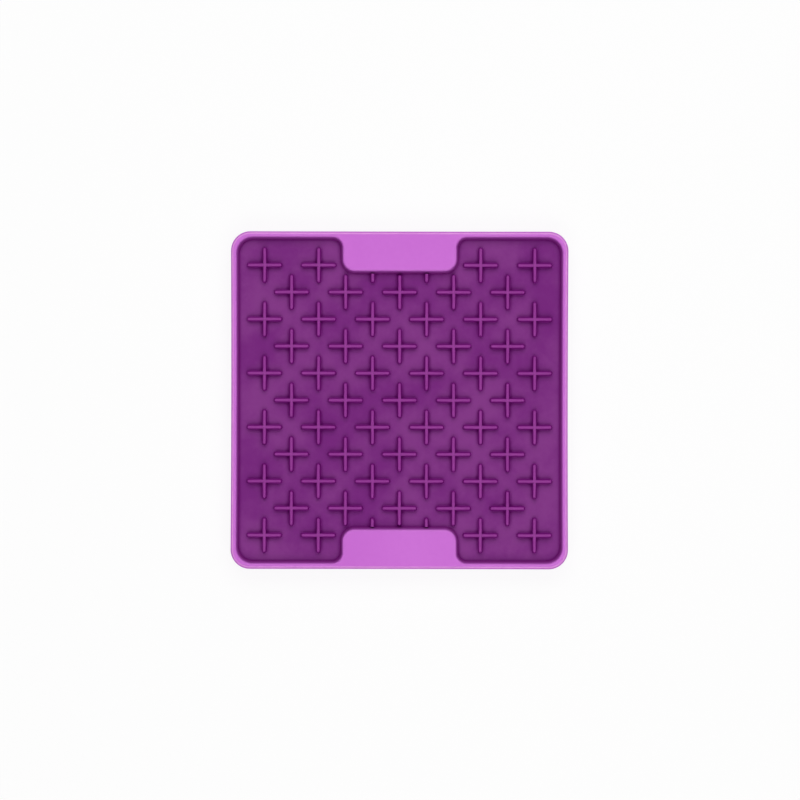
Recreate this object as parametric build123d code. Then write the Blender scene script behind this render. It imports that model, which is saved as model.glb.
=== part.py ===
from build123d import *
import math
import os

os.makedirs("parts", exist_ok=True)

# Lick mat: a soft mat covered with raised crosses, held between a hard casing frame and a base plate.
# Millimetres, +Z up. The origin is on the floor under the middle, and the tabs lie towards +Y and -Y.

# Casing frame, seen from above
casing_side = 150.0
casing_corner_radius = 8.7
rim_width = 2.2  # at the top of the rim
opening_corner_radius = 7.5
tab_width = 49.8
tab_depth = 17.3  # from the outside of the casing to the tab's free edge
tab_corner_radius = 5.0
notch_radius = 5.0  # where the side of a tab meets the rim

# Casing frame, in section
rim_recess = 4.4  # from the top of the rim down to the mat
rim_lean = 1.4  # how far the foot of the inner wall stands inside its top
rim_outer_round_share = 0.5
rim_inner_round_share = 0.32
skirt_wall = 1.6
skirt_edge_round_share = 0.3
tab_top_wall = 2.0
tab_side_wall = 1.8
pocket_corner_radius = 3.0
tab_rib_wall = 1.2
peg_diameter = 4.0
peg_spacing = 32.0
peg_end_chamfer_share = 0.1
bead_length = 12.0
bead_spacing = 42.0
bead_proud = 0.6  # how far a snap bead reaches in from the skirt
bead_land = 0.3  # flat nose of a bead, above its sloped lead-in
bead_count = 3  # along each side

# Mat
mat_thickness = 2.0
cross_pitch = 24.0
cross_span = 15.3  # tip to tip, at the top
cross_top_width = 1.55
cross_height = 3.0
cross_lean = 0.3  # how far each side spreads from its top to its foot
cross_inner_round = 0.5  # between two arms
cross_top_round_share = 0.28

# Base plate
plate_thickness = 1.8
plate_recess = 0.8  # from the lower edge of the skirt up to the plate
plate_rib_height = 0.6
plate_rib_wall = 1.5
plate_rib_spacing = 48.0
plate_ring_inset = 3.0  # from the edge of the plate to the ring rib

# Feet
foot_diameter = 12.0
foot_drop = 1.0  # how far the feet stand below the skirt
foot_inset = 17.0  # from the outside of the casing to the middle of a foot
foot_stem_diameter = 5.0
foot_head_diameter = 8.0
foot_web = 1.0  # plate gripped between the pad and the head
foot_round_share = 0.3
foot_head_chamfer_share = 0.5
groove_diameter = 7.0  # middle of the ring groove under a foot
groove_width = 1.2
groove_depth = 0.4

# Clearances
side_gap = 0.2  # mat and plate inside the skirt, crosses inside the opening
pin_gap = 0.1  # pegs and stems in the plate, on the radius
mat_hole_gap = 0.2  # pegs in the mat, on the radius
head_gap = 0.3  # heads of the feet in their seats, on the radius
end_gap = 0.2  # ends of pegs and heads, short of the next face
overrun = 1.0  # how far a cut runs past the faces it opens

# Heights
skirt_bottom = foot_drop
plate_bottom = skirt_bottom + plate_recess
plate_top = plate_bottom + plate_thickness
mat_top = plate_top + mat_thickness
rim_top = mat_top + rim_recess
pocket_height = rim_recess - tab_top_wall

# Places that several pieces share
casing_half = casing_side / 2
cavity_half = casing_half - skirt_wall
inlay_side = casing_side - 2 * (skirt_wall + side_gap)
inlay_corner_radius = casing_corner_radius - skirt_wall - side_gap
wall_angle = math.degrees(math.atan2(rim_lean, rim_recess))
pocket_near = casing_half - tab_depth - rim_lean + tab_side_wall
pocket_middle = (pocket_near + cavity_half) / 2
peg_places = GridLocations(peg_spacing, 2 * pocket_middle, 2, 2)
foot_centre = casing_half - foot_inset
foot_seat_radius = foot_head_diameter / 2 + head_gap


def rounded_block(side, radius, bottom, top):
    outline = RectangleRounded(side, side, radius)
    return Pos(0, 0, bottom) * extrude(outline, top - bottom)


def upright(radius, bottom, top):
    column = Cylinder(radius, top - bottom, align=(Align.CENTER, Align.CENTER, Align.MIN))
    return Pos(0, 0, bottom) * column


def opening_outline(inset):
    # The opening in the casing at the top of the rim, drawn in by the inset on every side.
    edge = casing_half - rim_width - inset
    tab_side = tab_width / 2 + inset
    tab_edge = casing_half - tab_depth - inset
    upper = [
        (edge, edge),
        (tab_side, edge),
        (tab_side, tab_edge),
        (-tab_side, tab_edge),
        (-tab_side, edge),
        (-edge, edge),
    ]
    lower = [(-x, -y) for x, y in upper]
    corner = opening_corner_radius - inset
    notch = notch_radius - inset
    tab_corner = tab_corner_radius + inset
    radii = [corner, notch, tab_corner, tab_corner, notch, corner]
    return make_face(FilletPolyline(*upper, *lower, radius=radii + radii, close=True))


def tab_pocket():
    # The hollow under the +Y tab, with the stiffening ribs left standing in it.
    width = tab_width + 2 * (rim_lean - tab_side_wall)
    depth = cavity_half - pocket_near
    outline = RectangleRounded(width, depth, pocket_corner_radius)
    pocket = extrude(outline, pocket_height, taper=wall_angle)
    ribs = Box(width, tab_rib_wall, 2 * pocket_height)
    for place in GridLocations(peg_spacing, 0, 2, 1):
        ribs += place * Box(tab_rib_wall, depth, 2 * pocket_height)
    return Pos(0, pocket_middle, mat_top) * (pocket - ribs)


def locating_peg():
    peg = upright(peg_diameter / 2, plate_bottom + end_gap, mat_top + pocket_height + tab_top_wall / 2)
    lower_edge = peg.edges().group_by(Axis.Z)[0]
    return chamfer(lower_edge, peg_diameter * peg_end_chamfer_share)


def snap_bead():
    # One bead inside the +X side of the skirt, its flat top under the base plate.
    root = cavity_half + skirt_wall / 2
    nose = cavity_half - bead_proud
    section = Polyline(
        (root, plate_bottom),
        (nose, plate_bottom),
        (nose, plate_bottom - bead_land),
        (cavity_half, skirt_bottom),
        (root, skirt_bottom),
        close=True,
    )
    return extrude(Plane.XZ * make_face(section), bead_length / 2, both=True)


def make_casing_frame():
    frame = rounded_block(casing_side, casing_corner_radius, skirt_bottom, rim_top)
    opening = extrude(opening_outline(0), rim_recess, taper=wall_angle)
    frame -= Pos(0, 0, rim_top) * Rot(180, 0, 0) * opening
    top_face = frame.faces().sort_by(Axis.Z)[-1]
    frame = frame.fillet(rim_width * rim_inner_round_share, top_face.inner_wires()[0].edges())
    top_face = frame.faces().sort_by(Axis.Z)[-1]
    frame = frame.fillet(rim_width * rim_outer_round_share, top_face.outer_wire().edges())
    bottom_face = frame.faces().sort_by(Axis.Z)[0]
    frame = frame.fillet(skirt_wall * skirt_edge_round_share, bottom_face.outer_wire().edges())
    cavity_radius = casing_corner_radius - skirt_wall
    frame -= rounded_block(2 * cavity_half, cavity_radius, skirt_bottom - overrun, mat_top)
    for turn in (0, 180):
        frame -= Rot(0, 0, turn) * tab_pocket()
    frame += [place * locating_peg() for place in peg_places]
    bead_places = GridLocations(0, bead_spacing, 1, bead_count)
    for turn in (0, 90, 180, 270):
        frame += [Rot(0, 0, turn) * place * snap_bead() for place in bead_places]
    return frame


def cross_stud():
    # One raised cross at the origin: two drafted ridges, rounded where they meet and along their tops.
    arm = SlotOverall(cross_span + 2 * cross_lean, cross_top_width + 2 * cross_lean)
    draft = math.degrees(math.atan2(cross_lean, cross_height))
    ridge = extrude(arm, cross_height, taper=draft)
    stud = ridge + Rot(0, 0, 90) * ridge
    between_arms = stud.edges().sort_by_distance((0, 0, cross_height / 2))[:4]
    stud = fillet(between_arms, cross_inner_round)
    top_edges = stud.edges().group_by(Axis.Z)[-1]
    return fillet(top_edges, cross_top_width * cross_top_round_share)


def make_lick_mat():
    # Two square lattices of crosses, one in the gaps of the other, cut short where a tab covers them.
    opening_side = 2 * (casing_half - rim_width - rim_lean)
    row_count = int((opening_side - cross_span) / cross_pitch) + 1
    outer_lattice = GridLocations(cross_pitch, cross_pitch, row_count, row_count)
    inner_lattice = GridLocations(cross_pitch, cross_pitch, row_count - 1, row_count - 1)
    stud = Pos(0, 0, mat_top) * cross_stud()
    studs = Part() + [place * stud for place in [*outer_lattice, *inner_lattice]]
    uncovered = extrude(opening_outline(rim_lean + side_gap), mat_top + cross_height + overrun)
    hole = upright(peg_diameter / 2 + mat_hole_gap, plate_top - overrun, mat_top + overrun)
    sheet = rounded_block(inlay_side, inlay_corner_radius, plate_top, mat_top)
    sheet -= [place * hole for place in peg_places]
    return sheet + (studs & uncovered)


def make_base_plate():
    plate = rounded_block(inlay_side, inlay_corner_radius, plate_bottom, plate_top)
    ring_side = inlay_side - 2 * plate_ring_inset
    ring_radius = inlay_corner_radius - plate_ring_inset
    rib_bottom = plate_bottom - plate_rib_height
    space_side = ring_side - 2 * plate_rib_wall
    space_radius = ring_radius - plate_rib_wall
    ribs = rounded_block(ring_side, ring_radius, rib_bottom, plate_bottom)
    ribs -= rounded_block(space_side, space_radius, rib_bottom - overrun, plate_bottom + overrun)
    rib = Box(plate_rib_wall, ring_side, plate_rib_height, align=(Align.CENTER, Align.CENTER, Align.MAX))
    for turn in (0, 90):
        for place in GridLocations(plate_rib_spacing, 0, 2, 1):
            ribs += Rot(0, 0, turn) * place * Pos(0, 0, plate_bottom) * rib
    plate += ribs
    peg_hole = upright(peg_diameter / 2 + pin_gap, rib_bottom - overrun, plate_top + overrun)
    plate -= [place * peg_hole for place in peg_places]
    foot_hole = upright(foot_stem_diameter / 2 + pin_gap, plate_bottom - overrun, plate_top + overrun)
    foot_hole += upright(foot_seat_radius, plate_bottom + foot_web, plate_top + overrun)
    foot_places = GridLocations(2 * foot_centre, 2 * foot_centre, 2, 2)
    return plate - [place * foot_hole for place in foot_places]


def make_foot():
    # A push-in foot: pad under the plate, stem through it, head seated in its upper side.
    pad = upright(foot_diameter / 2, 0, plate_bottom)
    pad = fillet(pad.edges().group_by(Axis.Z)[0], plate_bottom * foot_round_share)
    groove = upright((groove_diameter + groove_width) / 2, -overrun, groove_depth)
    groove -= upright((groove_diameter - groove_width) / 2, -2 * overrun, groove_depth + overrun)
    head_bottom = plate_bottom + foot_web
    head_height = plate_top - end_gap - head_bottom
    head = upright(foot_head_diameter / 2, head_bottom, head_bottom + head_height)
    head = chamfer(head.edges().group_by(Axis.Z)[-1], head_height * foot_head_chamfer_share)
    stem = upright(foot_stem_diameter / 2, plate_bottom, head_bottom)
    return pad - groove + stem + head


nodes = {
    "casing_frame": make_casing_frame(),
    "lick_mat": make_lick_mat(),
    "base_plate": make_base_plate(),
}
foot = make_foot()
for depth_name, depth_sign in (("front", -1), ("rear", 1)):
    for side_name, side_sign in (("left", -1), ("right", 1)):
        corner = Pos(side_sign * foot_centre, depth_sign * foot_centre)
        nodes[f"foot_{depth_name}_{side_name}"] = corner * foot

for node, shape in nodes.items():
    export_step(shape, f"parts/{node}.step")
    print(node, "volume", round(shape.volume, 1), "solids", len(shape.solids()))
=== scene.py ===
import math

import bmesh
import bpy
from mathutils import Matrix, Vector, noise


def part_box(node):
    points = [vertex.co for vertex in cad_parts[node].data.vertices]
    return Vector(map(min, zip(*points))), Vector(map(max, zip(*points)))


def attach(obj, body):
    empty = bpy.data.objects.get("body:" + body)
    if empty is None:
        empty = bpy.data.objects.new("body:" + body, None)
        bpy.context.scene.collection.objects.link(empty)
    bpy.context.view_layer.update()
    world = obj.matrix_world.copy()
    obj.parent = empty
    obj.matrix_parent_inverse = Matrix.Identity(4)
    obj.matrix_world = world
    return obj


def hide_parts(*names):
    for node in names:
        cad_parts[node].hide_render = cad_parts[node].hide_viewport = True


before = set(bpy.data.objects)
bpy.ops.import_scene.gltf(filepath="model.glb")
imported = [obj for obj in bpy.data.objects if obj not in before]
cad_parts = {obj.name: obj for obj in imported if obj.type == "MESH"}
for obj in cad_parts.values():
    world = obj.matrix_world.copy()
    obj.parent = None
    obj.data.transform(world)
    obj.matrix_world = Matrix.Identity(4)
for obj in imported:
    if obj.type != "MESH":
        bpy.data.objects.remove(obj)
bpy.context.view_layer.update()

scene = bpy.context.scene
mm = 0.001

casingLow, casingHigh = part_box("casing_frame")
matLow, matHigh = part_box("lick_mat")
ribHeight = 0.6 * mm
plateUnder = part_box("base_plate")[0].z + ribHeight  # the plate itself starts above its ribs
crossHeight = 3.0 * mm
sheetTop = matHigh.z - crossHeight
tiny = 1e-6


# Mesh helpers
meshing = {
    "creaseAngle": 0.5,        # radians between two faces
    "fillTurn": 0.37,
    "shadingAngle": math.radians(50),
    "flatWeight": 80,
}


def vertsAt(bm, x, y):
    return [v for v in bm.verts if abs(abs(v.co.x) - x) < tiny and abs(abs(v.co.y) - y) < tiny]


def edgesAt(bm, z):
    return [e for e in bm.edges if all(abs(v.co.z - z) < tiny for v in e.verts)]


def openEdgesAt(bm, z):
    return [e for e in edgesAt(bm, z) if e.is_boundary]


def creasesAt(bm, z):
    inside = [e for e in edgesAt(bm, z) if len(e.link_faces) == 2]
    return [e for e in inside if e.calc_face_angle() > meshing["creaseAngle"]]


def loopThrough(edges, vert):
    # those of the edges that hang together with the vertex
    left, found, todo = set(edges), [], [vert]
    while todo:
        for edge in todo.pop().link_edges:
            if edge in left:
                left.discard(edge)
                found.append(edge)
                todo.extend(edge.verts)
    return found


def outerLoop(edges):
    return loopThrough(edges, max((v for e in edges for v in e.verts), key=lambda v: abs(v.co.x)))


def innerLoop(edges):
    return loopThrough(edges, min((v for e in edges for v in e.verts), key=lambda v: v.co.xy.length))


def roundCorners(bm, verts, radius, segments):
    bmesh.ops.bevel(bm, geom=verts, offset=radius, offset_type="OFFSET", segments=segments,
                    profile=0.5, affect="VERTICES", material=-1)


def roundEdges(bm, edges, radius, segments):
    bmesh.ops.bevel(bm, geom=edges, offset=radius, offset_type="OFFSET", segments=segments,
                    profile=0.5, affect="EDGES", material=-1)


def splitLongEdges(bm, edges, step):
    for edge in edges:
        cuts = round(edge.calc_length() / step) - 1
        if cuts > 0:
            bmesh.ops.subdivide_edges(bm, edges=[edge], cuts=cuts)


def pullEdges(bm, edges, z):
    made = bmesh.ops.extrude_edge_only(bm, edges=edges)["geom"]
    for vert in [g for g in made if isinstance(g, bmesh.types.BMVert)]:
        vert.co.z = z


def fillFlat(bm, edges):
    # turned a little meanwhile, because rows of points exactly in line upset the fill
    turn = Matrix.Rotation(meshing["fillTurn"], 3, "Z")
    bmesh.ops.rotate(bm, verts=bm.verts, cent=(0, 0, 0), matrix=turn)
    bmesh.ops.triangle_fill(bm, use_beauty=True, edges=edges)
    bmesh.ops.rotate(bm, verts=bm.verts, cent=(0, 0, 0), matrix=turn.inverted())


def arcSteps(inset, rise, count, flatFirst):
    # insets and rises along a quarter ellipse that starts, or else ends, flat
    angles = [step / count * math.pi / 2 for step in range(count + 1)]
    sines = [(math.sin(b) - math.sin(a), math.cos(a) - math.cos(b)) for a, b in zip(angles, angles[1:])]
    return [(inset * s, rise * c) if flatFirst else (inset * c, rise * s) for s, c in sines]


def insetSteps(bm, face, steps):
    for inset, rise in steps:
        bmesh.ops.inset_individual(bm, faces=[face], thickness=inset, depth=rise, use_even_offset=True)


def addPost(bm, radius, bottom, top, x, y, segments):
    place = Matrix.Translation((x, y, (bottom + top) / 2))
    bmesh.ops.create_cone(bm, cap_ends=True, segments=segments, radius1=radius, radius2=radius,
                          depth=top - bottom, matrix=place)


def makePiece(name, bm, material, replaced):
    bmesh.ops.remove_doubles(bm, verts=bm.verts, dist=tiny / 2)
    bmesh.ops.recalc_face_normals(bm, faces=bm.faces)
    mesh = bpy.data.meshes.new(name)
    bm.to_mesh(mesh)
    bm.free()
    mesh.shade_smooth()
    mesh.set_sharp_from_angle(angle=meshing["shadingAngle"])
    mesh.materials.append(material)
    piece = bpy.data.objects.new(name, mesh)
    scene.collection.objects.link(piece)
    flats = piece.modifiers.new("flatShading", "WEIGHTED_NORMAL")  # keeps flats flat beside their rounds
    flats.weight = meshing["flatWeight"]
    flats.keep_sharp = True
    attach(piece, "root")
    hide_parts(replaced)
    print(name, len(mesh.vertices), "verts,", len(mesh.polygons), "faces")


# Effects that more than one finish uses

def newGroup(name, inputs, outputs):
    group = bpy.data.node_groups.new(name, "ShaderNodeTree")
    for label, kind, value in inputs:
        group.interface.new_socket(label, in_out="INPUT", socket_type=kind).default_value = value
    for label, kind in outputs:
        group.interface.new_socket(label, in_out="OUTPUT", socket_type=kind)
    return group, group.nodes.new("NodeGroupInput"), group.nodes.new("NodeGroupOutput")


def addNode(tree, kind, links=None, values=None, **settings):
    node = tree.nodes.new(kind)
    for key, value in settings.items():
        setattr(node, key, value)
    for key, value in (values or {}).items():
        node.inputs[key].default_value = value
    for key, socket in (links or {}).items():
        tree.links.new(socket, node.inputs[key])
    return node


def addMath(tree, operation, first, second, clamp=False):
    node = addNode(tree, "ShaderNodeMath", operation=operation, use_clamp=clamp)
    for index, value in enumerate((first, second)):
        if isinstance(value, (int, float)):
            node.inputs[index].default_value = value
        else:
            tree.links.new(value, node.inputs[index])
    return node.outputs["Value"]


def addRange(tree, value, fromLow, fromHigh, toLow=0.0, toHigh=1.0):
    limits = {"From Min": fromLow, "From Max": fromHigh, "To Min": toLow, "To Max": toHigh}
    node = addNode(tree, "ShaderNodeMapRange", {"Value": value}, limits, interpolation_type="SMOOTHSTEP")
    return node.outputs["Result"]


def addMix(tree, factor, first, second):
    node = addNode(tree, "ShaderNodeMix", data_type="RGBA")
    tree.links.new(factor, node.inputs["Factor"])
    for name, value in (("A", first), ("B", second)):
        socket = [s for s in node.inputs if s.name == name and s.type == "RGBA"][0]
        if isinstance(value, tuple):
            socket.default_value = (*value, 1.0)
        else:
            tree.links.new(value, socket)
    return [s for s in node.outputs if s.type == "RGBA"][0]


def addNoise(tree, coords, scale, detail, roughness, distortion=0.0):
    node = addNode(tree, "ShaderNodeTexNoise", {"Vector": coords, "Scale": scale},
                   {"Detail": detail, "Roughness": roughness, "Distortion": distortion})
    return node.outputs["Fac"]


def addUpward(tree):
    # 1 on faces that look straight up, 0 on upright ones
    normal = addNode(tree, "ShaderNodeNewGeometry").outputs["Normal"]
    return addNode(tree, "ShaderNodeSeparateXYZ", {"Vector": normal}).outputs["Z"]


# detail, roughness and distortion of each noise, and where the masks start and end
grainEffect = {
    "grain": (2.0, 0.55),
    "hollow": (3.0, 0.5, 0.3),
    "patchLimits": (0.3, 0.7),
}


def buildMouldedGrain():
    # fine spark-eroded texture, with soft hollows where the material shrank
    group, given, out = newGroup("mouldedGrain",
                                 [("Grain Scale", "NodeSocketFloat", 2500.0),
                                  ("Hollow Scale", "NodeSocketFloat", 90.0),
                                  ("Hollow Share", "NodeSocketFloat", 0.5)],
                                 [("Height", "NodeSocketFloat"), ("Patch", "NodeSocketFloat")])
    coords = addNode(group, "ShaderNodeTexCoord").outputs["Object"]
    grain = addNoise(group, coords, given.outputs["Grain Scale"], *grainEffect["grain"])
    hollow = addNoise(group, coords, given.outputs["Hollow Scale"], *grainEffect["hollow"])
    lowered = addMath(group, "MULTIPLY", hollow, given.outputs["Hollow Share"])
    group.links.new(addMath(group, "ADD", grain, lowered), out.inputs["Height"])
    group.links.new(addRange(group, hollow, *grainEffect["patchLimits"]), out.inputs["Patch"])
    return group


tintEffect = {
    "broad": (2.0, 0.45),
    "small": (4.0, 0.6),
    "smallShare": 0.35,
    "maskLimits": (0.45, 0.9),
}


def buildPatchyTint():
    # two close tints that drift into each other, broad patches with smaller ones inside
    group, given, out = newGroup("patchyTint",
                                 [("Tint", "NodeSocketColor", (0.5, 0.5, 0.5, 1.0)),
                                  ("Other Tint", "NodeSocketColor", (0.6, 0.6, 0.6, 1.0)),
                                  ("Broad Scale", "NodeSocketFloat", 40.0),
                                  ("Small Scale", "NodeSocketFloat", 300.0)],
                                 [("Color", "NodeSocketColor"), ("Mask", "NodeSocketFloat")])
    coords = addNode(group, "ShaderNodeTexCoord").outputs["Object"]
    broad = addNoise(group, coords, given.outputs["Broad Scale"], *tintEffect["broad"])
    small = addNoise(group, coords, given.outputs["Small Scale"], *tintEffect["small"])
    both = addMath(group, "ADD", broad, addMath(group, "MULTIPLY", small, tintEffect["smallShare"]))
    mask = addRange(group, both, *tintEffect["maskLimits"])
    color = addMix(group, mask, given.outputs["Tint"], given.outputs["Other Tint"])
    group.links.new(color, out.inputs["Color"])
    group.links.new(mask, out.inputs["Mask"])
    return group


edgeEffect = {
    "broken": (4.0, 0.6),
    "roundLimits": (1.0, 0.2),
    "keptLimits": (0.35, 0.65),
}


def buildEdgeHighlight():
    # painted highlight on rounds that face partly up, broken up by noise
    group, given, out = newGroup("edgeHighlightGroup",
                                 [("Facing", "NodeSocketFloat", 0.72),
                                  ("Facing Width", "NodeSocketFloat", 0.27),
                                  ("Break Scale", "NodeSocketFloat", 260.0),
                                  ("Break Share", "NodeSocketFloat", 0.6)],
                                 [("Mask", "NodeSocketFloat")])
    coords = addNode(group, "ShaderNodeTexCoord").outputs["Object"]
    turned = addMath(group, "SUBTRACT", addUpward(group), given.outputs["Facing"])
    offRound = addMath(group, "ABSOLUTE", turned, 0.0)
    offShare = addMath(group, "DIVIDE", offRound, given.outputs["Facing Width"])
    onRound = addRange(group, offShare, *edgeEffect["roundLimits"])
    broken = addNoise(group, coords, given.outputs["Break Scale"], *edgeEffect["broken"])
    highlightKept = addRange(group, broken, *edgeEffect["keptLimits"])
    highlightGap = addMath(group, "SUBTRACT", 1.0, highlightKept)
    missing = addMath(group, "MULTIPLY", highlightGap, given.outputs["Break Share"])
    mask = addMath(group, "MULTIPLY", onRound, addMath(group, "SUBTRACT", 1.0, missing), clamp=True)
    group.links.new(mask, out.inputs["Mask"])
    return group


creaseEffect = {
    "samples": 12,
    "openLimits": (0.95, 0.45),  # open share of the view around a point, from the flat to a deep crease
}


def buildCreaseDepth():
    # how deep a point lies in a crease between neighbouring surfaces
    group, given, out = newGroup("creaseDepth", [("Reach", "NodeSocketFloat", 3.5 * mm)],
                                 [("Mask", "NodeSocketFloat")])
    nearby = addNode(group, "ShaderNodeAmbientOcclusion", {"Distance": given.outputs["Reach"]},
                     samples=creaseEffect["samples"])
    mask = addRange(group, nearby.outputs["AO"], *creaseEffect["openLimits"])
    group.links.new(mask, out.inputs["Mask"])
    return group


mouldedGrain = buildMouldedGrain()
patchyTint = buildPatchyTint()
edgeHighlightGroup = buildEdgeHighlight()
creaseDepth = buildCreaseDepth()
print("shared effects built")


# Finishes

def placeGroup(tree, group, values):
    node = tree.nodes.new("ShaderNodeGroup")
    node.node_tree = group
    for key, value in values.items():
        node.inputs[key].default_value = (*value, 1.0) if isinstance(value, tuple) else value
    return node


def placeGrain(tree, look):
    return placeGroup(tree, mouldedGrain, {"Grain Scale": look["grainScale"],
                                           "Hollow Scale": look["hollowScale"],
                                           "Hollow Share": look["hollowShare"]})


def placeTint(tree, look):
    return placeGroup(tree, patchyTint, {"Tint": look["tint"], "Other Tint": look["otherTint"],
                                         "Broad Scale": look["broadScale"],
                                         "Small Scale": look["smallScale"]})


def placeEdgeHighlight(tree, look):
    facing, spread = look["edgeFacing"]
    return placeGroup(tree, edgeHighlightGroup, {"Facing": facing, "Facing Width": spread,
                                         "Break Scale": look["breakScale"],
                                         "Break Share": look["breakShare"]}).outputs["Mask"]


def newFinish(name):
    material = bpy.data.materials.new(name)
    material.use_nodes = True
    tree = material.node_tree
    tree.nodes.clear()
    shader = tree.nodes.new("ShaderNodeBsdfPrincipled")
    addNode(tree, "ShaderNodeOutputMaterial", {"Surface": shader.outputs["BSDF"]})
    return material, tree, shader


def linkSurface(tree, shader, look, color, rough, grain):
    bump = addNode(tree, "ShaderNodeBump", {"Height": grain.outputs["Height"]},
                   {"Strength": look["bump"], "Distance": look["bumpDepth"]})
    tree.links.new(color, shader.inputs["Base Color"])
    tree.links.new(rough, shader.inputs["Roughness"])
    tree.links.new(bump.outputs["Normal"], shader.inputs["Normal"])
    shader.inputs["Specular IOR Level"].default_value = look["specular"]


satinPlastic = {
    "tint": (0.585, 0.130, 0.655),
    "otherTint": (0.615, 0.147, 0.685),
    # painted highlight on the rounded upper edges of the rim and tabs
    "edgeTint": (0.83, 0.34, 0.79),
    "edgeHighlightShare": 0.85,
    "edgeFacing": (0.87, 0.14),  # how far up the painted highlight band faces, and its spread
    "edgeEnd": 0.015,          # share of the inner wall's depth down to which the painted highlight reaches
    "edgeSmoother": 0.06,      # what the painted highlight band takes off the roughness
    "breakScale": 240.0,
    "breakShare": 0.3,
    "recessShadeTint": (0.20, 0.001, 0.19),  # painted shade, low on the inner wall
    "recessPower": 0.5,        # below 1, that painted shade comes in early
    "roughness": (0.36, 0.46),
    "broadScale": 28.0,
    "smallScale": 420.0,
    "grainScale": 2200.0,
    "hollowScale": 70.0,
    "hollowShare": 0.6,
    "bump": 0.09,
    "bumpDepth": 0.1 * mm,
    "specular": 0.42,
}


def makePlasticFinish(name, look):
    material, tree, shader = newFinish(name)
    grain = placeGrain(tree, look)
    tint = placeTint(tree, look)
    depth = addNode(tree, "ShaderNodeAttribute", attribute_name="recess").outputs["Fac"]
    # painted highlight on rounds that face partly up, kept off the inner wall
    nearTop = addRange(tree, depth, look["edgeEnd"], 0.0)
    edgeHighlightMask = addMath(tree, "MULTIPLY", placeEdgeHighlight(tree, look), nearTop)
    edgeHighlightAmount = addMath(tree, "MULTIPLY", edgeHighlightMask, look["edgeHighlightShare"])
    color = addMix(tree, edgeHighlightAmount, tint.outputs["Color"], look["edgeTint"])
    # painted shade, darker further down the inner wall
    low = addMath(tree, "POWER", depth, look["recessPower"], clamp=True)
    color = addMix(tree, low, color, look["recessShadeTint"])
    rough = addRange(tree, grain.outputs["Patch"], 0.0, 1.0, *look["roughness"])
    smoother = addMath(tree, "MULTIPLY", edgeHighlightMask, look["edgeSmoother"])
    rough = addMath(tree, "SUBTRACT", rough, smoother)
    linkSurface(tree, shader, look, color, rough, grain)
    return material


softRubber = {
    "tint": (0.185, 0.0205, 0.206),
    "otherTint": (0.238, 0.0435, 0.252),
    # painted highlight on the cross tops and on rounds facing partly up
    "crownHighlightTint": (0.330, 0.052, 0.325),
    "crownFrom": matHigh.z - 0.9 * mm,
    "crownTo": matHigh.z - 0.1 * mm,
    "crownHighlightShare": 0.75,
    "edgeFacing": (0.72, 0.27),  # painted highlight on rounds below the crown
    "edgeHighlightShare": 0.25,
    "breakScale": 300.0,
    "breakShare": 0.4,
    # painted shade: steep faces take a more saturated purple than the open flats
    "sideTint": (0.220, 0.003, 0.226),
    "sideFacing": (0.95, 0.5),  # from level to as steep as takes the whole painted side shade
    "sideShadeShare": 0.9,
    # painted shade in creases, beside the arms and where the mat meets other parts
    "creaseShadeTint": (0.138, 0.0005, 0.146),
    "creaseReach": 2.1 * mm,
    "creaseShadeShare": 1.0,
    "roughness": (0.55, 0.70),
    "broadScale": 42.0,
    "smallScale": 260.0,
    "grainScale": 1500.0,
    "hollowScale": 110.0,
    "hollowShare": 1.2,
    "bump": 0.12,
    "bumpDepth": 0.25 * mm,
    "specular": 0.05,
}


def makeRubberFinish(name, look):
    material, tree, shader = newFinish(name)
    grain = placeGrain(tree, look)
    tint = placeTint(tree, look)
    coords = addNode(tree, "ShaderNodeTexCoord").outputs["Object"]
    height = addNode(tree, "ShaderNodeSeparateXYZ", {"Vector": coords}).outputs["Z"]
    # painted highlight on the cross tops and on rounds facing partly up
    crown = addRange(tree, height, look["crownFrom"], look["crownTo"])
    crownHighlight = addMath(tree, "MULTIPLY", crown, look["crownHighlightShare"])
    roundHighlight = addMath(tree, "MULTIPLY", placeEdgeHighlight(tree, look), look["edgeHighlightShare"])
    highlightKept = addMath(tree, "MAXIMUM", crownHighlight, roundHighlight)
    color = addMix(tree, highlightKept, tint.outputs["Color"], look["crownHighlightTint"])
    # painted shade on steep faces
    steep = addRange(tree, addUpward(tree), *look["sideFacing"])
    color = addMix(tree, addMath(tree, "MULTIPLY", steep, look["sideShadeShare"]), color, look["sideTint"])
    # painted shade in creases, from the ambient occlusion around each point
    crease = placeGroup(tree, creaseDepth, {"Reach": look["creaseReach"]}).outputs["Mask"]
    creaseShade = addMath(tree, "MULTIPLY", crease, look["creaseShadeShare"])
    color = addMix(tree, creaseShade, color, look["creaseShadeTint"])
    rough = addRange(tree, tint.outputs["Mask"], 0.0, 1.0, *look["roughness"])
    linkSurface(tree, shader, look, color, rough, grain)
    return material


casingPlastic = makePlasticFinish("casingPlastic", satinPlastic)
basePlastic = makePlasticFinish("basePlastic", {**satinPlastic, "grainScale": 1400.0, "bump": 0.1,
                                                "roughness": (0.50, 0.62)})
matRubber = makeRubberFinish("matRubber", softRubber)
footRubber = makeRubberFinish("footRubber", {**softRubber, "grainScale": 2400.0, "crownHighlightShare": 0.0})
print("finishes made")


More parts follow.
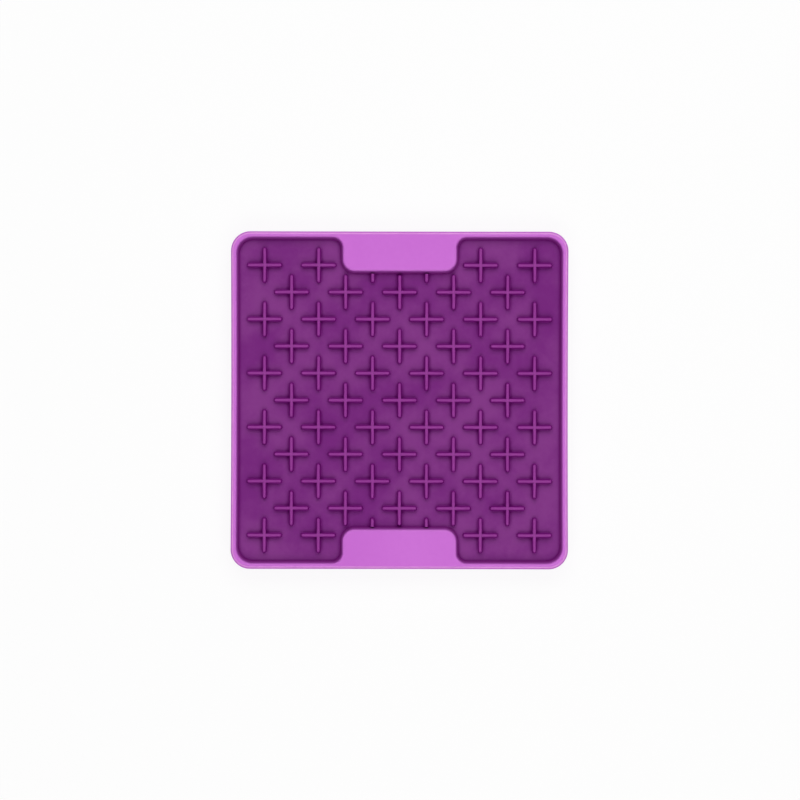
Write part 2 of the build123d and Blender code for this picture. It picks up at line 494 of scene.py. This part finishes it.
# Casing frame: narrow rounded rim, two flush tabs, leaning inner wall, skirt with snap beads inside
casing = {
    "rimTop": 1.75 * mm,       # from the outside to where the inner wall starts to fall
    "innerRound": (1.0 * mm, 1.0 * mm),  # spread and drop
    "innerRoundSteps": 6,
    "wallLean": 0.85 * mm,     # spread of the straight wall below the round
    "wallSteps": 4,
    "tabWidth": 48.9 * mm,
    "tabDepth": 16.85 * mm,
    "outerCorner": 8.7 * mm,
    "openingCorner": 7.95 * mm,
    "notchCorner": 5.45 * mm,
    "tabCorner": 4.55 * mm,
    "cornerSegments": 14,
    "splitFrom": 40.0 * mm,    # straight sides longer than this are split
    "splitStep": 18.0 * mm,
    "outerRound": 1.55 * mm,
    "roundSegments": 8,
    "skirtWall": 1.6 * mm,
    "skirtRound": 0.45 * mm,
    "skirtRoundSegments": 3,
    "sideBow": (0.28 * mm, 0.06 * mm),  # long sides draw in as the moulding cools
    "pegRadius": 2.0 * mm,
    "pegSpacing": 32.0 * mm,
    "pegRow": 65.75 * mm,
    "pegEnd": 0.2 * mm,        # a peg stops this far above the plate's underside
    "pegRoot": 1.0 * mm,       # how far a peg reaches into the tab
    "pegSegments": 32,
    "beadLength": 12.0 * mm,
    "beadSpacing": 42.0 * mm,
    "beadProud": 0.6 * mm,
    "beadLand": 0.3 * mm,      # a bead starts this far above the skirt's lower edge
}


def pegPlaces():
    side, row = casing["pegSpacing"] / 2, casing["pegRow"]
    return [(x, y) for x in (-side, side) for y in (-row, row)]


def addSnapBead(bm, turn, along):
    cavity = casingHigh.x - casing["skirtWall"]
    root = cavity + casing["skirtWall"] / 2
    nose = cavity - casing["beadProud"]
    bottom = casingLow.z + casing["beadLand"]
    size = (root - nose, casing["beadLength"], plateUnder - bottom)
    verts = bmesh.ops.create_cube(bm, size=1.0)["verts"]
    bmesh.ops.scale(bm, verts=verts, vec=size)
    bmesh.ops.translate(bm, verts=verts, vec=((root + nose) / 2, along, bottom + size[2] / 2))
    lip = [v for v in verts if v.co.x < cavity and v.co.z < bottom + tiny]
    bmesh.ops.translate(bm, verts=lip, vec=(casing["beadProud"], 0, 0))  # sloped lead-in
    bmesh.ops.rotate(bm, verts=verts, cent=(0, 0, 0), matrix=Matrix.Rotation(turn, 3, "Z"))


def makeCasingFrame():
    half, rimTop = casingHigh.x, casingHigh.z
    edge = half - casing["rimTop"]
    tabSide = casing["tabWidth"] / 2
    tabEdge = half - casing["tabDepth"]
    segments = casing["cornerSegments"]
    bm = bmesh.new()
    # right half of the top seen from above, then its mirror image
    outline = [(0, half), (0, tabEdge), (tabSide, tabEdge), (tabSide, edge), (edge, edge), (edge, -edge),
               (tabSide, -edge), (tabSide, -tabEdge), (0, -tabEdge), (0, -half),
               (half, -half), (half, half)]
    bm.faces.new([bm.verts.new((x, y, rimTop)) for x, y in outline])
    bmesh.ops.mirror(bm, geom=[*bm.verts, *bm.edges, *bm.faces], matrix=Matrix.Identity(4),
                     merge_dist=tiny, axis="X")
    rims = [e for e in bm.edges if e.is_boundary]
    splitLongEdges(bm, [e for e in rims if e.calc_length() > casing["splitFrom"]], casing["splitStep"])
    roundCorners(bm, vertsAt(bm, half, half), casing["outerCorner"], segments)
    roundCorners(bm, vertsAt(bm, edge, edge), casing["openingCorner"], segments)
    roundCorners(bm, vertsAt(bm, tabSide, edge), casing["notchCorner"], segments)
    roundCorners(bm, vertsAt(bm, tabSide, tabEdge), casing["tabCorner"], segments)
    bmesh.ops.recalc_face_normals(bm, faces=bm.faces)

    # inner wall, rounded at the top, with its depth kept for the finish
    rimEdges = innerLoop([e for e in bm.edges if e.is_boundary])
    opening = bmesh.ops.edgeloop_fill(bm, edges=rimEdges)["faces"][0]
    if opening.normal.z < 0:
        opening.normal_flip()
    spread, drop = casing["innerRound"]
    insetSteps(bm, opening, arcSteps(spread, -drop, casing["innerRoundSteps"], True))
    wallStep = (casing["wallLean"] / casing["wallSteps"], (sheetTop - rimTop + drop) / casing["wallSteps"])
    insetSteps(bm, opening, [wallStep] * casing["wallSteps"])
    recess = bm.verts.layers.float.new("recess")
    for vert in bm.verts:
        vert[recess] = (rimTop - vert.co.z) / (rimTop - sheetTop)
    bmesh.ops.delete(bm, geom=[opening], context="FACES_ONLY")

    # skirt, hollow from below, and the ledge that presses on the mat
    pullEdges(bm, openEdgesAt(bm, rimTop), casingLow.z)
    under = bmesh.ops.edgeloop_fill(bm, edges=openEdgesAt(bm, casingLow.z))["faces"][0]
    bmesh.ops.inset_individual(bm, faces=[under], thickness=casing["skirtWall"], use_even_offset=True)
    cavityEdges = list(under.edges)
    bmesh.ops.delete(bm, geom=[under], context="FACES_ONLY")
    pullEdges(bm, cavityEdges, sheetTop)
    fillFlat(bm, openEdgesAt(bm, sheetTop))
    bmesh.ops.recalc_face_normals(bm, faces=bm.faces)

    # rounded edges
    roundEdges(bm, outerLoop(creasesAt(bm, rimTop)), casing["outerRound"], casing["roundSegments"])
    roundEdges(bm, creasesAt(bm, casingLow.z), casing["skirtRound"], casing["skirtRoundSegments"])
    for vert in bm.verts:
        x, y = vert.co.x / half, vert.co.y / half
        vert.co.x -= casing["sideBow"][0] * x ** 5 * (1 - y * y)
        vert.co.y -= casing["sideBow"][1] * y ** 5 * (1 - x * x)

    for x, y in pegPlaces():
        addPost(bm, casing["pegRadius"], plateUnder + casing["pegEnd"], sheetTop + casing["pegRoot"],
                x, y, casing["pegSegments"])
    for quarter in range(4):
        for step in (-1, 0, 1):
            addSnapBead(bm, quarter * math.pi / 2, step * casing["beadSpacing"])
    makePiece("casingFrame", bm, casingPlastic, "casing_frame")


makeCasingFrame()


# Mat: a sheet with raised crosses on two lattices, one in the gaps of the other
mat = {
    "pitch": 24.0 * mm,
    "rowCount": 6,
    "span": 15.3 * mm,         # tip to tip at the top
    "armWidth": 1.55 * mm,
    "armLean": 0.25 * mm,
    "footFlare": 0.3 * mm,     # soft fillet into the sheet
    "crownRound": 0.66 * mm,
    "flareSteps": 3,
    "crownSteps": 4,
    "tipSegments": 5,
    "splitFrom": 3.0 * mm,     # arm sides longer than this are split
    "splitStep": 1.6 * mm,
    "wobble": 0.08 * mm,       # soft arms are never dead straight
    "wobbleScale": 160.0,
    "wobbleSeed": 5,
    "sheetCorner": 6.9 * mm,
    "sheetCornerSegments": 10,
    "pegHole": 2.2 * mm,
    "holeSegments": 32,
    "tabCut": 56.25 * mm,      # crosses under a tab end here
}


def addCross(bm):
    # plan of the foot: a square with an arm drawn out of each side
    grow = mat["armLean"] + mat["footFlare"]
    halfWidth = mat["armWidth"] / 2 + grow
    halfSpan = mat["span"] / 2 + grow
    start = bmesh.ops.create_grid(bm, x_segments=1, y_segments=1, size=halfWidth)["verts"]
    for edge in list(start[0].link_faces[0].edges):
        out = (edge.verts[0].co + edge.verts[1].co).normalized() * (halfSpan - halfWidth)
        made = bmesh.ops.extrude_edge_only(bm, edges=[edge])["geom"]
        bmesh.ops.translate(bm, verts=[g for g in made if isinstance(g, bmesh.types.BMVert)], vec=out)
    bmesh.ops.recalc_face_normals(bm, faces=bm.faces)
    plan = bmesh.ops.dissolve_faces(bm, faces=bm.faces)["region"][0]
    if plan.normal.z < 0:
        plan.normal_flip()
    splitLongEdges(bm, [e for e in bm.edges if e.calc_length() > mat["splitFrom"]], mat["splitStep"])
    tips = vertsAt(bm, halfSpan, halfWidth) + vertsAt(bm, halfWidth, halfSpan)
    roundCorners(bm, tips, halfWidth, mat["tipSegments"])
    bmesh.ops.remove_doubles(bm, verts=bm.verts, dist=tiny)  # the two arcs of a tip meet in one point

    # raise it: flared foot, leaning side, rounded crown
    plan = max(bm.faces, key=lambda face: face.calc_area())
    insetSteps(bm, plan, arcSteps(mat["footFlare"], mat["footFlare"], mat["flareSteps"], True))
    insetSteps(bm, plan, [(mat["armLean"], crossHeight - mat["footFlare"] - mat["crownRound"])])
    insetSteps(bm, plan, arcSteps(mat["crownRound"], mat["crownRound"], mat["crownSteps"], False))
    bmesh.ops.translate(bm, verts=bm.verts, vec=(0, 0, sheetTop))


def cutAtTab(bm, side):
    # close the foot, cut, close the cut, and open the foot again
    bmesh.ops.edgeloop_fill(bm, edges=openEdgesAt(bm, sheetTop))
    geom = [*bm.verts, *bm.edges, *bm.faces]
    bmesh.ops.bisect_plane(bm, geom=geom, dist=tiny, plane_co=(0, side * mat["tabCut"], 0),
                           plane_no=(0, side, 0), clear_outer=True)
    bmesh.ops.holes_fill(bm, edges=[e for e in bm.edges if e.is_boundary])
    footFaces = [f for f in bm.faces if all(abs(v.co.z - sheetTop) < tiny for v in f.verts)]
    bmesh.ops.delete(bm, geom=footFaces, context="FACES_ONLY")


def makeLickMat():
    cross = bmesh.new()
    addCross(cross)
    crossMesh = bpy.data.meshes.new("crossMould")
    cross.to_mesh(crossMesh)
    cross.free()
    bm = bmesh.new()
    for rowCount in (mat["rowCount"], mat["rowCount"] - 1):
        steps = [(i - (rowCount - 1) / 2) * mat["pitch"] for i in range(rowCount)]
        for x in steps:
            for y in steps:
                one = bmesh.new()
                one.from_mesh(crossMesh)
                bmesh.ops.translate(one, verts=one.verts, vec=(x, y, 0))
                if abs(x) < casing["tabWidth"] / 2 and abs(y) > mat["tabCut"]:
                    cutAtTab(one, math.copysign(1, y))
                placed = bpy.data.meshes.new("placedCross")
                one.to_mesh(placed)
                one.free()
                bm.from_mesh(placed)
                bpy.data.meshes.remove(placed)
    bpy.data.meshes.remove(crossMesh)
    noise.seed_set(mat["wobbleSeed"])
    for vert in bm.verts:
        rise = (vert.co.z - sheetTop) / crossHeight
        lean = noise.noise_vector(vert.co * mat["wobbleScale"]) * mat["wobble"] * rise
        vert.co += lean * Vector((1, 1, 0))

    # the sheet round the crosses, its edge and its underside
    half = matHigh.x
    square = bmesh.ops.create_grid(bm, x_segments=1, y_segments=1, size=half,
                                   matrix=Matrix.Translation((0, 0, sheetTop)))["verts"]
    roundCorners(bm, square, mat["sheetCorner"], mat["sheetCornerSegments"])
    sheet = max(bm.faces, key=lambda face: face.calc_area())
    rimEdges = list(sheet.edges)
    bmesh.ops.delete(bm, geom=[sheet], context="FACES_ONLY")
    for x, y in pegPlaces():
        ring = bmesh.ops.create_circle(bm, segments=mat["holeSegments"], radius=mat["pegHole"],
                                       matrix=Matrix.Translation((x, y, sheetTop)))["verts"]
        rimEdges += dict.fromkeys(e for v in ring for e in v.link_edges)
    fillFlat(bm, [*openEdgesAt(bm, sheetTop), *rimEdges])
    pullEdges(bm, rimEdges, matLow.z)
    fillFlat(bm, openEdgesAt(bm, matLow.z))
    makePiece("lickMat", bm, matRubber, "lick_mat")


makeLickMat()


# Feet: soft pads pushed into the base plate, each with a ring groove that grips the floor
foot = {
    "padRadius": 6.0 * mm,
    "padRound": 0.54 * mm,
    "padRoundSegments": 5,
    "stemRadius": 2.5 * mm,
    "headRadius": 4.0 * mm,
    "web": 1.0 * mm,           # of the plate, between pad and head
    "grooveInner": 2.9 * mm,
    "grooveOuter": 4.1 * mm,
    "grooveDepth": 0.4 * mm,
    "spinSteps": 56,
}


def makeFoot(node):
    low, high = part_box(node)
    centre = (low + high) / 2
    headBottom = plateUnder + foot["web"]
    profile = [(0, low.z), (foot["grooveInner"], low.z), (foot["grooveInner"], foot["grooveDepth"]),
               (foot["grooveOuter"], foot["grooveDepth"]), (foot["grooveOuter"], low.z),
               (foot["padRadius"], low.z), (foot["padRadius"], plateUnder),
               (foot["stemRadius"], plateUnder), (foot["stemRadius"], headBottom),
               (foot["headRadius"], headBottom), (foot["headRadius"], high.z), (0, high.z)]
    bm = bmesh.new()
    points = [bm.verts.new((x, 0, z)) for x, z in profile]
    for first, second in zip(points, points[1:]):
        bm.edges.new((first, second))
    padCorner = points[profile.index((foot["padRadius"], low.z))]
    roundCorners(bm, [padCorner], foot["padRound"], foot["padRoundSegments"])
    bmesh.ops.spin(bm, geom=[*bm.verts, *bm.edges], cent=(0, 0, 0), axis=(0, 0, 1), angle=2 * math.pi,
                   steps=foot["spinSteps"], use_merge=True)
    bmesh.ops.translate(bm, verts=bm.verts, vec=(centre.x, centre.y, 0))
    name = "".join(word.capitalize() for word in node.split("_"))
    makePiece(name[0].lower() + name[1:], bm, footRubber, node)


for node in ("foot_front_left", "foot_front_right", "foot_rear_left", "foot_rear_right"):
    makeFoot(node)

# The base plate keeps its own mesh
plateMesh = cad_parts["base_plate"].data
plateMesh.materials.clear()
plateMesh.materials.append(basePlastic)
print("pieces done")


# Floor, light and camera
studio = {
    "floorHalf": 4.0,
    "floorTint": (0.97, 0.97, 0.97, 1.0),
    "white": (1.0, 1.0, 1.0, 1.0),
    "ambient": 0.08,
    "floorWhite": 0.88,        # how much of its shadow the floor hides from the camera
    "softboxes": {
        "rearSoftbox": {"at": (0.0, 0.74, 0.95), "size": (1.3, 0.75), "watts": 8.2},
        "frontSoftbox": {"at": (0.0, -0.74, 0.95), "size": (1.3, 0.75), "watts": 6.6},
        "rightSoftbox": {"at": (0.60, 0.0, 1.0), "size": (0.4, 1.0), "watts": 2.2},
        "leftSoftbox": {"at": (-0.60, 0.0, 1.0), "size": (0.4, 1.0), "watts": 1.0},
    },
}
photoCamera = {
    "distance": 2.0,
    "frameWidth": 355.0 * mm,  # what the photograph spans at the top of the rim
    "offset": (0.22 * mm, 0.13 * mm),
    "roll": math.radians(0.1),
    "sensor": 36.0,
    "clip": (0.05, 20.0),
}


def seenByCamera(tree):
    # camera, mirror and glass rays see the plain white background
    path = tree.nodes.new("ShaderNodeLightPath")
    seen = addMath(tree, "MAXIMUM", path.outputs["Is Camera Ray"], path.outputs["Is Glossy Ray"])
    return addMath(tree, "MAXIMUM", seen, path.outputs["Is Transmission Ray"])


def makeRoom():
    world = bpy.data.worlds.new("softRoom")
    world.use_nodes = True
    scene.world = world
    tree = world.node_tree
    background = tree.nodes["Background"]
    background.inputs["Color"].default_value = studio["white"]
    strength = addRange(tree, seenByCamera(tree), 0.0, 1.0, studio["ambient"], 1.0)
    tree.links.new(strength, background.inputs["Strength"])


def makeFloor():
    bm = bmesh.new()
    bmesh.ops.create_grid(bm, x_segments=1, y_segments=1, size=studio["floorHalf"])
    mesh = bpy.data.meshes.new("floor")
    bm.to_mesh(mesh)
    bm.free()
    material = bpy.data.materials.new("paleFloor")
    material.use_nodes = True
    tree = material.node_tree
    tree.nodes.clear()
    matte = addNode(tree, "ShaderNodeBsdfDiffuse", values={"Color": studio["floorTint"]}).outputs["BSDF"]
    plain = addNode(tree, "ShaderNodeEmission", values={"Color": studio["white"]}).outputs["Emission"]
    share = addMath(tree, "MULTIPLY", seenByCamera(tree), studio["floorWhite"])
    mixed = addNode(tree, "ShaderNodeMixShader", {0: share, 1: matte, 2: plain})
    addNode(tree, "ShaderNodeOutputMaterial", {"Surface": mixed.outputs["Shader"]})
    mesh.materials.append(material)
    floor = bpy.data.objects.new("floor", mesh)
    scene.collection.objects.link(floor)


def makeLamps():
    for name, box in studio["softboxes"].items():
        lamp = bpy.data.lights.new(name, "AREA")
        lamp.shape = "RECTANGLE"
        lamp.size, lamp.size_y = box["size"]
        lamp.energy = box["watts"]
        holder = bpy.data.objects.new(name, lamp)
        holder.location = box["at"]
        holder.rotation_euler = (-Vector(box["at"])).to_track_quat("-Z", "Y").to_euler()
        scene.collection.objects.link(holder)


def makeCamera():
    lens = bpy.data.cameras.new("photoCamera")
    lens.sensor_width = photoCamera["sensor"]
    lens.lens = photoCamera["sensor"] * photoCamera["distance"] / photoCamera["frameWidth"]
    lens.clip_start, lens.clip_end = photoCamera["clip"]
    camera = bpy.data.objects.new("photoCamera", lens)
    camera.location = (*photoCamera["offset"], casingHigh.z + photoCamera["distance"])
    camera.rotation_euler = (0, 0, photoCamera["roll"])
    scene.collection.objects.link(camera)
    scene.camera = camera


makeRoom()
makeFloor()
makeLamps()
makeCamera()
scene.view_settings.view_transform = "Standard"
print("studio and camera set")
